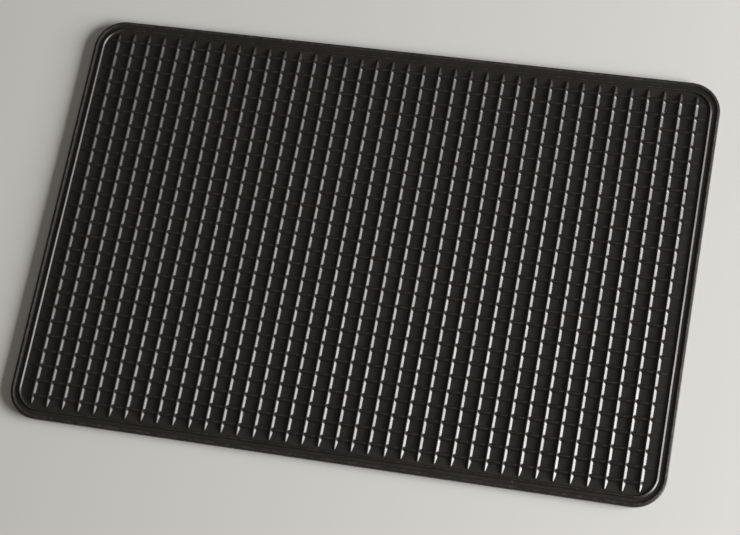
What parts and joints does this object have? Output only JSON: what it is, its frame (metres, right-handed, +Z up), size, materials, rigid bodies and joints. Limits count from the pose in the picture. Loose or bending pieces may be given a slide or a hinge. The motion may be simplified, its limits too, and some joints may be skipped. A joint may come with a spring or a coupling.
{
  "type": "rubber door mat",
  "caption": "Black moulded rubber door mat with a raised lattice of ribs inside a bead and a rounded rim, and grip studs on its underside.",
  "frame": {"origin": "centre of the mat, at the level of the floor it lies on", "axes": "+X along the mat's length, +Y across it, +Z up out of the tread"},
  "size_m": [0.6, 0.4, 0.006],
  "materials": {
    "tread_rubber": "black moulded rubber, satin, with a fine moulded grain, faint mottling and a little dust in the corners",
    "rib_rubber": "black moulded rubber, glossier than the floor of the mat where the polished mould left the flanks, with lightly worn crests",
    "underside_rubber": "black moulded rubber, matt, with a coarser grain than the top"
  },
  "bodies": {
    "root": {"backing_sheet": "underside_rubber", "grip_studs": "underside_rubber", "tread_sheet": "tread_rubber", "column_ribs": "rib_rubber", "row_ribs": "rib_rubber", "perimeter_bead": "rib_rubber", "edge_rim": "tread_rubber"}
  },
  "joints": []
}
